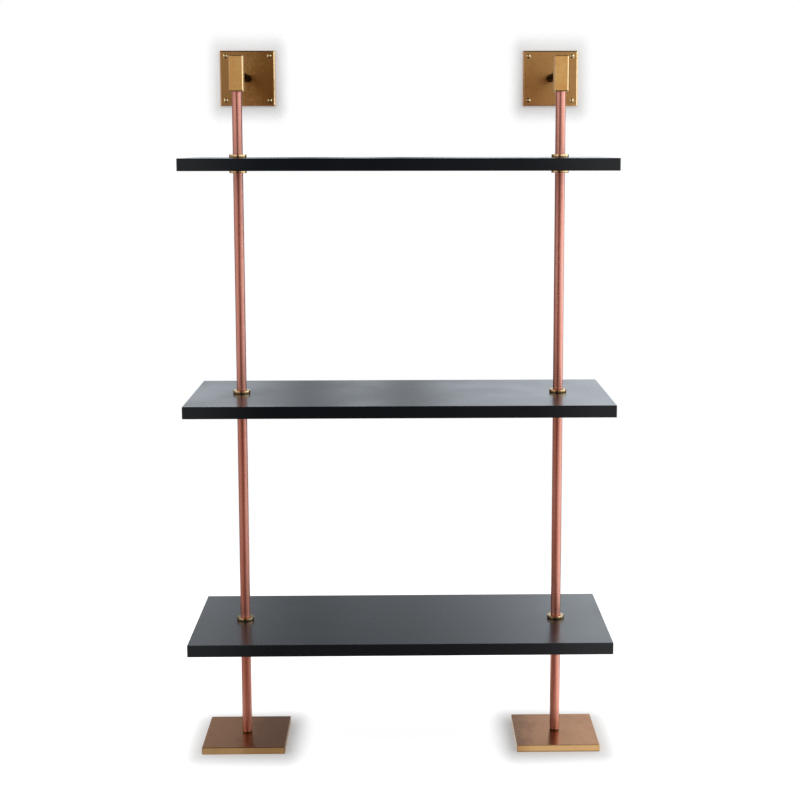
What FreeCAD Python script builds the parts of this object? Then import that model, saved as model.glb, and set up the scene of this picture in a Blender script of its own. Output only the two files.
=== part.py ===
import FreeCAD, Part
import Sketcher
import math
import os
import re

# Three-tier shelf: three boards held by collars on two copper rods. Each rod stands on a square
# foot plate and is steadied at the top by a square block, a stem and a plate on the wall.
# Frame: millimetres, +Z up from the floor, +X to the right, +Y to the wall. The origin is on
# the floor, in the middle of the whole object's width and depth.

# Driving sizes, in millimetres
driving = {
    # Boards
    "shelf_width": 914,
    "shelf_depth": 356,
    "shelf_thickness": 26,
    "shelf_ease": 0.8,
    "shelf_hole_gap": 0.4,
    "bottom_shelf_height": 280,
    "shelf_pitch": 517,
    # Rods, which are tubes with a plug in each end, and how far in from the boards' ends they stand
    "rod_inset": 107,
    "rod_diameter": 22,
    "rod_wall": 1.5,
    "rod_ease": 0.4,
    "plug_length": 40,
    # Collars, one above and one below each board on each rod
    "collar_diameter": 38,
    "collar_height": 7,
    "collar_ease": 0.7,
    "set_screw_diameter": 4,
    "set_screw_recess": 0.8,
    "set_screw_socket": 2,
    "set_screw_socket_depth": 2.5,
    # Feet
    "foot_width": 184,
    "foot_thickness": 16,
    "foot_ease": 1.2,
    "foot_ring_diameter": 21,
    "foot_ring_height": 3.4,
    "foot_ring_ease": 0.8,
    "foot_screw_diameter": 10,
    "foot_screw_head_diameter": 17,
    "foot_screw_head_height": 8,
    "foot_screw_recess": 1.5,
    "foot_screw_hold": 26,
    "foot_screw_socket": 8,
    "foot_screw_socket_depth": 4,
    # Blocks on top of the rods
    "block_width": 30,
    "block_height": 76,
    "block_ease": 1.6,
    "socket_depth": 26,
    "grub_screw_diameter": 5,
    "grub_screw_recess": 0.6,
    "grub_screw_socket": 2.5,
    "grub_screw_socket_depth": 1.8,
    # Stems between the blocks and the wall plates
    "wall_distance": 232,
    "stem_diameter": 18,
    "stem_ease": 0.8,
    "spigot_diameter": 12,
    "spigot_end_gap": 2,
    "stem_screw_diameter": 8,
    "stem_screw_head_diameter": 16,
    "stem_screw_recess": 0.4,
    "stem_screw_hold": 20,
    "stem_screw_socket": 5,
    "stem_screw_socket_depth": 3,
    # Wall plates and the screws that hold them
    "wall_plate_centre_height": 1494,
    "wall_plate_width": 126,
    "wall_plate_thickness": 8,
    "wall_plate_ease": 2.6,
    "wall_screw_inset": 12.5,
    "wall_screw_diameter": 4.8,
    "wall_screw_shank_diameter": 4.2,
    "wall_screw_head_diameter": 10,
    "wall_screw_dome": 1.8,
    "wall_screw_reach": 38,
    "wall_screw_tip": 9,
    "wall_screw_slot_width": 1.5,
    "wall_screw_slot_depth": 1.7,
    # Radial gap round each rod, spigot, plug and screw in its hole
    "fit_gap": 0.1,
}

# Sizes that follow from the driving ones
derived = {
    "rod_radius": "rod_diameter / 2",
    "rod_bore_radius": "rod_radius - rod_wall",
    "plug_radius": "rod_bore_radius - fit_gap",
    "rod_start": "foot_thickness + foot_ring_height",
    "block_start": "wall_plate_centre_height - block_height / 2",
    "rod_end": "block_start + socket_depth",
    "collar_radius": "collar_diameter / 2",
    "set_screw_radius": "set_screw_diameter / 2",
    "set_screw_length": "collar_radius - rod_radius - set_screw_recess",
    "foot_ring_radius": "foot_ring_diameter / 2",
    "foot_screw_radius": "foot_screw_diameter / 2",
    "foot_screw_head_radius": "foot_screw_head_diameter / 2",
    "foot_screw_seat": "foot_screw_recess + foot_screw_head_height",
    "foot_screw_length": "rod_start + foot_screw_hold - foot_screw_recess",
    "block_half_width": "block_width / 2",
    "grub_screw_radius": "grub_screw_diameter / 2",
    "grub_screw_length": "block_half_width - rod_radius - grub_screw_recess",
    "spigot_radius": "spigot_diameter / 2",
    "spigot_length": "block_half_width - spigot_end_gap",
    "stem_radius": "stem_diameter / 2",
    "stem_length": "spigot_length + wall_distance - block_half_width",
    "stem_screw_radius": "stem_screw_diameter / 2",
    "stem_screw_head_radius": "stem_screw_head_diameter / 2",
    "stem_screw_cone": "stem_screw_head_radius - stem_screw_radius",
    "stem_screw_length": "wall_plate_thickness - stem_screw_recess + stem_screw_hold",
    "stem_screw_hole_radius": "stem_screw_radius + fit_gap",
    "wall_line": "wall_distance + wall_plate_thickness",
    "wall_screw_radius": "wall_screw_diameter / 2",
    "wall_screw_shank_radius": "wall_screw_shank_diameter / 2",
    "wall_screw_head_radius": "wall_screw_head_diameter / 2",
    "wall_screw_cone": "wall_screw_head_radius - wall_screw_radius",
    "wall_screw_neck": "wall_screw_head_radius - wall_screw_shank_radius",
    "wall_screw_place": "wall_plate_width / 2 - wall_screw_inset",
    "wall_screw_end": "wall_plate_thickness + wall_screw_reach",
    "rod_place": "shelf_width / 2 - rod_inset",
    "rod_line": "(shelf_depth / 2 - wall_line - wall_screw_reach) / 2",
}

sides = {"left": -1, "right": 1}
tiers = ("bottom", "middle", "top")
corners = ((-1, -1), (1, -1), (1, 1), (-1, 1))
# How far each wall screw's slot is turned, in degrees
screw_turns = {"left": (35, 80, 50, 100), "right": (120, 70, 60, 110)}
# Which way each piece's own Z axis points in the finished object
quarter_turn = 90
upright = FreeCAD.Rotation()
to_wall = FreeCAD.Rotation(FreeCAD.Vector(1, 0, 0), -quarter_turn)
from_wall = FreeCAD.Rotation(FreeCAD.Vector(1, 0, 0), quarter_turn)
# Largest error in a height or place that is still taken as equal
tolerance = 1e-6

doc = FreeCAD.newDocument("three_tier_shelf")
sheet = doc.addObject("Spreadsheet::Sheet", "Sizes")
for row, (name, value) in enumerate(driving.items(), start=1):
    sheet.set(f"A{row}", name)
    sheet.set(f"B{row}", str(value))
    sheet.setAlias(f"B{row}", name)
doc.recompute()

pieces = []
cuts = []


def formula(text):
    """Gives the text with each size's name replaced by its cell, or by its own formula."""

    def swap(match):
        word = match.group()
        if word in driving:
            return "Sizes." + word
        if word in derived:
            return "(" + formula(derived[word]) + ")"
        return word

    return re.sub("[a-z_]+", swap, text)


def bind(item, target, text):
    item.setExpression(target, formula(text))


def place(item, x="0", y="0", z="0", rotation=upright):
    """Turns a piece and ties its place to the sizes."""
    item.Placement = FreeCAD.Placement(FreeCAD.Vector(), rotation)
    for letter, text in (("x", x), ("y", y), ("z", z)):
        bind(item, "Placement.Base." + letter, text)


def new_body(label):
    body = doc.addObject("PartDesign::Body", label)
    body.Label = label
    return body


def new_sketch(body, plane, height="0"):
    """Adds a sketch on one of the body's own planes, or at a height above it."""
    sketch = body.newObject("Sketcher::SketchObject", body.Name + "_sketch")
    support = next(item for item in body.Origin.OriginFeatures if item.Role == plane)
    sketch.AttachmentSupport = [(support, "")]
    sketch.MapMode = "FlatFace"
    bind(sketch, "AttachmentOffset.Base.z", height)
    return sketch


def pin_point(sketch, shape, end, x, y, rough):
    """Ties one point of a sketched shape to formulas measured from the sketch's origin."""
    for kind, text, axis, start in (("DistanceX", x, -2, rough.x), ("DistanceY", y, -1, rough.y)):
        if text == "0":
            sketch.addConstraint(Sketcher.Constraint("PointOnObject", shape, end, axis))
        else:
            index = sketch.addConstraint(Sketcher.Constraint(kind, -1, 1, shape, end, start))
            bind(sketch, f"Constraints[{index}]", text)


def draw_outline(sketch, points, dome=None):
    """Draws a closed outline through the points; the stretch after point dome is an arc."""
    count = len(points)
    turns = [2 * math.pi * index / count - math.pi / 2 for index in range(count + 1)]
    rough = [FreeCAD.Vector(math.cos(turn), math.sin(turn), 0) for turn in turns]
    for index in range(count):
        stretch = Part.LineSegment(rough[index], rough[index + 1])
        if index == dome:
            stretch = Part.ArcOfCircle(Part.Circle(), turns[index], turns[index + 1])
        sketch.addGeometry(stretch, False)
    for index in range(count):
        following = (index + 1) % count
        sketch.addConstraint(Sketcher.Constraint("Coincident", index, 2, following, 1))
    if dome is not None:
        sketch.addConstraint(Sketcher.Constraint("PointOnObject", dome, 3, -2))
    for index, (x, y) in enumerate(points):
        pin_point(sketch, index, 1, x, y, rough[index])


def draw_square(sketch, width, depth):
    """Draws a rectangle round the sketch's origin."""
    draw_outline(sketch, [(f"{x} * {width} / 2", f"{y} * {depth} / 2") for x, y in corners])


def draw_hexagon(sketch, across_flats):
    """Draws a hexagon round the sketch's origin, with two of its corners on the X axis."""
    corner = f"{across_flats} / sqrt(3)"
    half = f"{across_flats} / 2"
    points = [(corner, "0"), (f"{corner} / 2", half), (f"-{corner} / 2", half)]
    points += [(f"-{corner}", "0"), (f"-{corner} / 2", f"-{half}"), (f"{corner} / 2", f"-{half}")]
    draw_outline(sketch, points)


def draw_circles(sketch, radius, centres):
    for x, y in centres:
        shape = sketch.addGeometry(Part.Circle(), False)
        pin_point(sketch, shape, 3, x, y, FreeCAD.Vector(1, 1, 0))
        index = sketch.addConstraint(Sketcher.Constraint("Radius", shape, 1.0))
        bind(sketch, f"Constraints[{index}]", radius)


def pad(body, sketch, height):
    block = body.newObject("PartDesign::Pad", body.Name + "_pad")
    block.Profile = sketch
    bind(block, "Length", height)
    return block


def turn_round(body, outline, dome=None):
    """Turns an outline of radius and height once round the body's Z axis."""
    sketch = new_sketch(body, "XZ_Plane")
    draw_outline(sketch, outline, dome)
    solid = body.newObject("PartDesign::Revolution", body.Name + "_turned")
    solid.Profile = sketch
    solid.ReferenceAxis = (sketch, ["V_Axis"])
    return solid


def pocket(body, sketch, depth=None, upward=False):
    """Cuts a sketch's shape down from its plane, or upward; with no depth it goes right through."""
    before = body.Tip
    cut = body.newObject("PartDesign::Pocket", body.Name + "_pocket")
    cut.Profile = sketch
    cut.Reversed = upward
    if depth is None:
        cut.Type = "ThroughAll"
    else:
        cut.Type = "Length"
        bind(cut, "Length", depth)
    cuts.append((before, cut))
    return cut


def ease(body, size, chosen=None):
    """Chamfers the edges that the test chooses, or every edge."""
    doc.recompute()
    base = body.Tip
    edges = []
    for number, edge in enumerate(base.Shape.Edges, start=1):
        if chosen is None or chosen(edge):
            edges.append(f"Edge{number}")
    chamfer = body.newObject("PartDesign::Chamfer", body.Name + "_ease")
    chamfer.Base = (base, edges)
    bind(chamfer, "Size", size)
    return chamfer


def at_height(height):
    """Makes a test for the edges that lie flat at one height of the body's own frame."""

    def test(edge):
        return all(abs(vertex.Z - height) < tolerance for vertex in edge.Vertexes)

    return test


def hole_rims(height, in_middle):
    """Makes a test for the round rims at one height, in the body's middle or away from it."""

    def test(edge):
        if len(edge.Vertexes) > 1 or not at_height(height)(edge):
            return False
        return (abs(edge.Curve.Center.x) < tolerance) == in_middle

    return test


def gather(label, bodies):
    """Joins like fasteners in one node, as separate solids."""
    group = doc.addObject("Part::Compound", label)
    group.Label = label
    group.Links = bodies
    pieces.append(group)
    return group


def make_shelf(tier, step):
    """A board with its edges eased and a hole for each rod."""
    body = new_body("shelf_" + tier)
    outline = new_sketch(body, "XY_Plane")
    draw_square(outline, "shelf_width", "shelf_depth")
    pad(body, outline, "shelf_thickness")
    ease(body, "shelf_ease")
    holes = new_sketch(body, "XY_Plane")
    draw_circles(holes, "rod_radius + shelf_hole_gap", [("-rod_place", "0"), ("rod_place", "0")])
    pocket(body, holes, upward=True)
    place(body, y="rod_line", z=f"{shelf_top(step)} - shelf_thickness")
    pieces.append(body)


def shelf_top(step):
    """Gives the height of a board's upper face, counted in steps from the bottom board."""
    return f"(bottom_shelf_height + {step} * shelf_pitch)"


def make_rod(side, x):
    """A tube from the foot ring up into the block's socket, with both outer rims eased."""
    body = new_body("rod_" + side)
    length = "(rod_end - rod_start)"
    outline = [
        ("rod_bore_radius", "0"),
        ("rod_radius - rod_ease", "0"),
        ("rod_radius", "rod_ease"),
        ("rod_radius", f"{length} - rod_ease"),
        ("rod_radius - rod_ease", length),
        ("rod_bore_radius", length),
    ]
    turn_round(body, outline)
    place(body, x, "rod_line", "rod_start")
    pieces.append(body)


def make_plug(label, x, z, bore="0"):
    body = new_body(label)
    outline = [
        (bore, "0"),
        ("plug_radius", "0"),
        ("plug_radius", "plug_length"),
        (bore, "plug_length"),
    ]
    turn_round(body, outline)
    place(body, x, "rod_line", z)
    pieces.append(body)


def make_plugs(side, x):
    """The lower plug is bored for the foot screw; the upper one backs the block's grub screw."""
    make_plug("rod_plug_lower_" + side, x, "rod_start", bore="foot_screw_radius + fit_gap")
    make_plug("rod_plug_upper_" + side, x, "rod_end - plug_length")


def make_collar(label, x, z):
    """A collar is a flat ring, cross-drilled at the back for its set screw."""
    body = new_body(label)
    bore = "rod_radius + fit_gap"
    outline = [
        (bore, "0"),
        ("collar_radius - collar_ease", "0"),
        ("collar_radius", "collar_ease"),
        ("collar_radius", "collar_height - collar_ease"),
        ("collar_radius - collar_ease", "collar_height"),
        (bore, "collar_height"),
    ]
    turn_round(body, outline)
    hole = new_sketch(body, "XZ_Plane")
    draw_circles(hole, "set_screw_radius + fit_gap", [("0", "collar_height / 2")])
    pocket(body, hole)
    place(body, x, "rod_line", z)
    pieces.append(body)


def make_socket_screw(label, radius, length, socket, socket_depth):
    """A headless screw, with its socket in the far end."""
    body = new_body(label)
    turn_round(body, [("0", "0"), (radius, "0"), (radius, length), ("0", length)])
    recess = new_sketch(body, "XY_Plane", length)
    draw_hexagon(recess, socket)
    pocket(body, recess, socket_depth)
    return body


def make_set_screw(label, x, z):
    sizes = ("set_screw_radius", "set_screw_length", "set_screw_socket", "set_screw_socket_depth")
    body = make_socket_screw(label, *sizes)
    place(body, x, "rod_line + rod_radius", z, to_wall)
    return body


def make_collars(side, x):
    """Two collars for each board, and the set screws that lock them to the rod."""
    screws = []
    for step, tier in enumerate(tiers):
        seats = {"upper": shelf_top(step), "lower": f"{shelf_top(step)} - shelf_thickness - collar_height"}
        for level, seat in seats.items():
            make_collar(f"collar_{tier}_{level}_{side}", x, seat)
            screw = make_set_screw(f"set_screw_{tier}_{level}_{side}", x, f"{seat} + collar_height / 2")
            screws.append(screw)
    gather("set_screws_" + side, screws)


def make_foot_plate(side, x):
    """A square plate, counterbored from below for the foot screw."""
    body = new_body("foot_plate_" + side)
    outline = new_sketch(body, "XY_Plane")
    draw_square(outline, "foot_width", "foot_width")
    pad(body, outline, "foot_thickness")
    ease(body, "foot_ease")
    hole = new_sketch(body, "XY_Plane")
    draw_circles(hole, "foot_screw_radius + fit_gap", [("0", "0")])
    pocket(body, hole, upward=True)
    counterbore = new_sketch(body, "XY_Plane")
    draw_circles(counterbore, "foot_screw_head_radius + fit_gap", [("0", "0")])
    pocket(body, counterbore, "foot_screw_seat", upward=True)
    place(body, x, "rod_line")
    pieces.append(body)


def make_foot_ring(side, x):
    """A thin ring that the rod stands on, just narrower than the rod."""
    body = new_body("foot_ring_" + side)
    bore = "foot_screw_radius + fit_gap"
    outline = [
        (bore, "0"),
        ("foot_ring_radius", "0"),
        ("foot_ring_radius", "foot_ring_height - foot_ring_ease"),
        ("foot_ring_radius - foot_ring_ease", "foot_ring_height"),
        (bore, "foot_ring_height"),
    ]
    turn_round(body, outline)
    place(body, x, "rod_line", "foot_thickness")
    pieces.append(body)


def make_foot_screw(side, x):
    """The foot screw goes up through the plate and the ring into the rod's lower plug."""
    body = new_body("foot_screw_" + side)
    outline = [
        ("0", "0"),
        ("foot_screw_head_radius", "0"),
        ("foot_screw_head_radius", "foot_screw_head_height"),
        ("foot_screw_radius", "foot_screw_head_height"),
        ("foot_screw_radius", "foot_screw_length"),
        ("0", "foot_screw_length"),
    ]
    turn_round(body, outline)
    recess = new_sketch(body, "XY_Plane")
    draw_hexagon(recess, "foot_screw_socket")
    pocket(body, recess, "foot_screw_socket_depth", upward=True)
    place(body, x, "rod_line", "foot_screw_recess")
    pieces.append(body)


def make_block(side, x):
    """A square block: the rod enters from below, the stem and a grub screw from the back."""
    body = new_body("rod_block_" + side)
    outline = new_sketch(body, "XY_Plane")
    draw_square(outline, "block_width", "block_width")
    pad(body, outline, "block_height")
    ease(body, "block_ease")
    socket = new_sketch(body, "XY_Plane")
    draw_circles(socket, "rod_radius + fit_gap", [("0", "0")])
    pocket(body, socket, "socket_depth", upward=True)
    stem_hole = new_sketch(body, "XZ_Plane")
    draw_circles(stem_hole, "spigot_radius + fit_gap", [("0", "block_height / 2")])
    pocket(body, stem_hole)
    grub_hole = new_sketch(body, "XZ_Plane")
    draw_circles(grub_hole, "grub_screw_radius + fit_gap", [("0", "socket_depth / 2")])
    pocket(body, grub_hole)
    place(body, x, "rod_line", "block_start")
    pieces.append(body)


def make_grub_screw(side, x):
    label = "block_grub_screw_" + side
    sizes = ("grub_screw_radius", "grub_screw_length", "grub_screw_socket", "grub_screw_socket_depth")
    body = make_socket_screw(label, *sizes)
    place(body, x, "rod_line + rod_radius", "block_start + socket_depth / 2", to_wall)
    pieces.append(body)


def make_stem(side, x):
    """A round bar with a spigot for the block, and a threaded hole at the wall plate's end."""
    body = new_body("wall_stem_" + side)
    hole_end = "(stem_length - stem_screw_hold - spigot_end_gap)"
    outline = [
        ("0", "0"),
        ("spigot_radius", "0"),
        ("spigot_radius", "spigot_length"),
        ("stem_radius - stem_ease", "spigot_length"),
        ("stem_radius", "spigot_length + stem_ease"),
        ("stem_radius", "stem_length"),
        ("stem_screw_hole_radius", "stem_length"),
        ("stem_screw_hole_radius", hole_end),
        ("0", hole_end),
    ]
    turn_round(body, outline)
    place(body, x, "rod_line + spigot_end_gap", "wall_plate_centre_height", to_wall)
    pieces.append(body)


def make_stem_screw(side, x):
    """A flat-headed screw from the back of the wall plate into the stem."""
    body = new_body("stem_screw_" + side)
    outline = [
        ("0", "0"),
        ("stem_screw_head_radius", "0"),
        ("stem_screw_radius", "stem_screw_cone"),
        ("stem_screw_radius", "stem_screw_length"),
        ("0", "stem_screw_length"),
    ]
    turn_round(body, outline)
    recess = new_sketch(body, "XY_Plane")
    draw_hexagon(recess, "stem_screw_socket")
    pocket(body, recess, "stem_screw_socket_depth", upward=True)
    place(body, x, "rod_line + wall_line - stem_screw_recess", "wall_plate_centre_height", from_wall)
    pieces.append(body)


def wall_screw_centres():
    """Gives the place of each corner screw, measured from the plate's middle."""
    return [(f"{i} * wall_screw_place", f"{j} * wall_screw_place") for i, j in corners]


def make_wall_plate(side, x):
    """A square plate with four countersunk holes at the front and one at the back."""
    body = new_body("wall_plate_" + side)
    outline = new_sketch(body, "XY_Plane")
    draw_square(outline, "wall_plate_width", "wall_plate_width")
    pad(body, outline, "wall_plate_thickness")
    ease(body, "wall_plate_ease", at_height(0))
    corner_holes = new_sketch(body, "XY_Plane")
    draw_circles(corner_holes, "wall_screw_radius + fit_gap", wall_screw_centres())
    pocket(body, corner_holes, upward=True)
    ease(body, "wall_screw_cone", hole_rims(0, in_middle=False))
    stem_hole = new_sketch(body, "XY_Plane")
    draw_circles(stem_hole, "stem_screw_hole_radius", [("0", "0")])
    pocket(body, stem_hole, upward=True)
    back = driving["wall_plate_thickness"]
    ease(body, "stem_screw_cone + stem_screw_recess", hole_rims(back, in_middle=True))
    place(body, x, "rod_line + wall_distance", "wall_plate_centre_height", to_wall)
    pieces.append(body)


def make_wall_screw(label, x, y, turn):
    """An oval-headed slotted wood screw; behind its plain shank the thread starts at the wall."""
    body = new_body(label)
    outline = [
        ("0", "-wall_screw_dome"),
        ("wall_screw_head_radius", "0"),
        ("wall_screw_shank_radius", "wall_screw_neck"),
        ("wall_screw_shank_radius", "wall_plate_thickness"),
        ("wall_screw_radius", "wall_plate_thickness"),
        ("wall_screw_radius", "wall_screw_end - wall_screw_tip"),
        ("0", "wall_screw_end"),
    ]
    turn_round(body, outline, dome=0)
    slot = new_sketch(body, "XY_Plane", "-wall_screw_dome")
    draw_square(slot, "wall_screw_slot_width", "wall_screw_head_diameter")
    pocket(body, slot, "wall_screw_slot_depth", upward=True)
    place(body, x, y, rotation=FreeCAD.Rotation(FreeCAD.Vector(0, 0, 1), turn))
    return body


def make_wall_screws(side, x):
    screws = []
    for index, (centre, turn) in enumerate(zip(wall_screw_centres(), screw_turns[side])):
        screws.append(make_wall_screw(f"wall_screw_{index + 1}_{side}", *centre, turn))
    group = gather("wall_screws_" + side, screws)
    place(group, x, "rod_line + wall_distance", "wall_plate_centre_height", to_wall)


def check_model():
    """Stops if anything failed, if a cut missed or if a piece isn't sound."""
    for item in doc.Objects:
        if "Invalid" in item.State or "Error" in item.State:
            raise RuntimeError(f"{item.Label}: {item.State}")
    for before, cut in cuts:
        if cut.Shape.Volume >= before.Shape.Volume:
            raise RuntimeError(f"{cut.Label} cuts nothing")
    for piece in pieces:
        if piece.Shape.isNull() or not piece.Shape.isValid():
            raise RuntimeError(f"{piece.Label} has no sound shape")


def write_pieces():
    os.makedirs("parts", exist_ok=True)
    for piece in pieces:
        piece.Shape.exportStep(f"parts/{piece.Label}.step")


for step, tier in enumerate(tiers):
    make_shelf(tier, step)
for side, sign in sides.items():
    x = f"{sign} * rod_place"
    make_foot_plate(side, x)
    make_foot_ring(side, x)
    make_foot_screw(side, x)
    make_rod(side, x)
    make_plugs(side, x)
    make_collars(side, x)
    make_block(side, x)
    make_grub_screw(side, x)
    make_stem(side, x)
    make_stem_screw(side, x)
    make_wall_plate(side, x)
    make_wall_screws(side, x)
doc.recompute()
check_model()
write_pieces()
print(len(pieces), "pieces")
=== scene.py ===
import math

import bmesh
import bpy
from mathutils import Matrix, Vector


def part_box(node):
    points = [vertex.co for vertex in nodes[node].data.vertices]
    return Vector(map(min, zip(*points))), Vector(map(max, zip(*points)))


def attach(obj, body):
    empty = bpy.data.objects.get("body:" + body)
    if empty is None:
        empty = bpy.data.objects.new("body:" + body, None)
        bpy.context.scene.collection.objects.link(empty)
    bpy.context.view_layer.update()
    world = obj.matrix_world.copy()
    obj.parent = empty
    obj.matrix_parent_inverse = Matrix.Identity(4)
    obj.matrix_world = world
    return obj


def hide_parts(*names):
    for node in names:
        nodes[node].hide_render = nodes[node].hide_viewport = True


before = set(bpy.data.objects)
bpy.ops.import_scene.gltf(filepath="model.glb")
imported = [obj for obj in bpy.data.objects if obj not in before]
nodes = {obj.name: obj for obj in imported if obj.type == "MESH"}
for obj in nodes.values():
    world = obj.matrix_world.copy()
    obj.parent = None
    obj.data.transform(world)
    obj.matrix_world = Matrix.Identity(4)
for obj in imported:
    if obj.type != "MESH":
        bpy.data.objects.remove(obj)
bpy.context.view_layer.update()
scene = bpy.context.scene
sides = ("left", "right")
mm = 0.001
print("frame loaded:", len(nodes), "nodes")


# The camera's place in metres, its turn in degrees, and its lens as pixels of the 800 by 800 picture
view = {
    "place": (0.00586, -3.32456, 1.33896),
    "turnRight": 1.06,
    "tiltUp": -7.24,
    "roll": 0.05,
    "focalPixels": 1495.88,
    "picturePixels": 800,
    "sensor": 36,
    "shift": (-0.0375, -0.08),
}


def makeCamera(values):
    data = bpy.data.cameras.new("camera")
    data.sensor_width = values["sensor"]
    data.lens = values["sensor"] * values["focalPixels"] / values["picturePixels"]
    data.shift_x, data.shift_y = values["shift"]
    camera = bpy.data.objects.new("camera", data)
    scene.collection.objects.link(camera)
    turn = Matrix.Rotation(math.radians(-values["turnRight"]), 4, "Z")
    tilt = Matrix.Rotation(math.radians(90 + values["tiltUp"]), 4, "X")
    roll = Matrix.Rotation(math.radians(-values["roll"]), 4, "Z")
    camera.matrix_world = Matrix.Translation(values["place"]) @ turn @ tilt @ roll
    scene.camera = camera


makeCamera(view)
print("camera set")


# Helpers for node materials: tree is the material's node tree, and sizes are in metres
def addNode(tree, kind, **values):
    node = tree.nodes.new(kind)
    for name, value in values.items():
        setattr(node, name, value)
    return node


def put(tree, socket, value):
    if isinstance(value, bpy.types.NodeSocket):
        tree.links.new(value, socket)
    else:
        socket.default_value = value


def work(tree, what, a, b=0.0):
    node = addNode(tree, "ShaderNodeMath", operation=what)
    put(tree, node.inputs[0], a)
    put(tree, node.inputs[1], b)
    return node.outputs[0]


def blendColours(tree, share, a, b):
    node = addNode(tree, "ShaderNodeMix", data_type="RGBA")
    put(tree, node.inputs["Factor"], share)
    for socket, colour in ((node.inputs[6], a), (node.inputs[7], b)):
        put(tree, socket, colour if isinstance(colour, bpy.types.NodeSocket) else (*colour, 1))
    return node.outputs[2]


def mapped(tree, value, low, high, toLow=0.0, toHigh=1.0, soft=True):
    node = addNode(tree, "ShaderNodeMapRange")
    if soft:
        node.interpolation_type = "SMOOTHSTEP"
    put(tree, node.inputs["Value"], value)
    for name, limit in (("From Min", low), ("From Max", high), ("To Min", toLow), ("To Max", toHigh)):
        put(tree, node.inputs[name], limit)
    return node.outputs[0]


def ramp(tree, value, stops):
    # stops are (place, colour) pairs, with places from 0 to 1
    node = addNode(tree, "ShaderNodeValToRGB")
    marks = node.color_ramp.elements
    while len(marks) < len(stops):
        marks.new(0.5)
    for mark, (place, colour) in zip(marks, stops):
        mark.position = place
        mark.color = (*colour, 1)
    put(tree, node.inputs[0], value)
    return node.outputs[0]


def spot(tree, stretch=(1, 1, 1)):
    # where on the object the point lies, stretched
    node = addNode(tree, "ShaderNodeVectorMath", operation="MULTIPLY")
    put(tree, node.inputs[0], addNode(tree, "ShaderNodeTexCoord").outputs["Object"])
    node.inputs[1].default_value = stretch
    return node.outputs[0]


def partOf(tree, vector, letter):
    node = addNode(tree, "ShaderNodeSeparateXYZ")
    put(tree, node.inputs[0], vector)
    return node.outputs[letter]


def noise(tree, size, detail=2.0, rough=0.5, stretch=(1, 1, 1)):
    # size is about how large one cloud is
    node = addNode(tree, "ShaderNodeTexNoise")
    put(tree, node.inputs["Vector"], spot(tree, stretch))
    node.inputs["Scale"].default_value = 1 / size
    node.inputs["Detail"].default_value = detail
    node.inputs["Roughness"].default_value = rough
    return node.outputs["Fac"]


def bump(tree, height, depth, under=None):
    node = addNode(tree, "ShaderNodeBump")
    put(tree, node.inputs["Height"], height)
    node.inputs["Distance"].default_value = depth
    if under is not None:
        put(tree, node.inputs["Normal"], under)
    return node.outputs[0]


def facing(tree, letter):
    return partOf(tree, addNode(tree, "ShaderNodeNewGeometry").outputs["Normal"], letter)


def easedEdges(tree, turned):
    # 1 on eased edges; on a turned piece only the lean towards its axis counts
    if turned:
        lean = work(tree, "ABSOLUTE", facing(tree, "Z"))
        return work(tree, "MULTIPLY", mapped(tree, lean, 0.1, 0.35), mapped(tree, lean, 0.88, 0.98, 1, 0))
    parts = [work(tree, "ABSOLUTE", facing(tree, letter)) for letter in "XYZ"]
    most = work(tree, "MAXIMUM", work(tree, "MAXIMUM", parts[0], parts[1]), parts[2])
    return mapped(tree, most, 0.78, 0.96, 1, 0)


def newMaterial(name):
    material = bpy.data.materials.new(name)
    material.use_nodes = True
    return material, material.node_tree, material.node_tree.nodes["Principled BSDF"]


def dress(piece, material):
    piece.data.materials.clear()
    piece.data.materials.append(material)


def dressNodes(start, material):
    for name, node in nodes.items():
        if name.startswith(start):
            dress(node, material)


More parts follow.
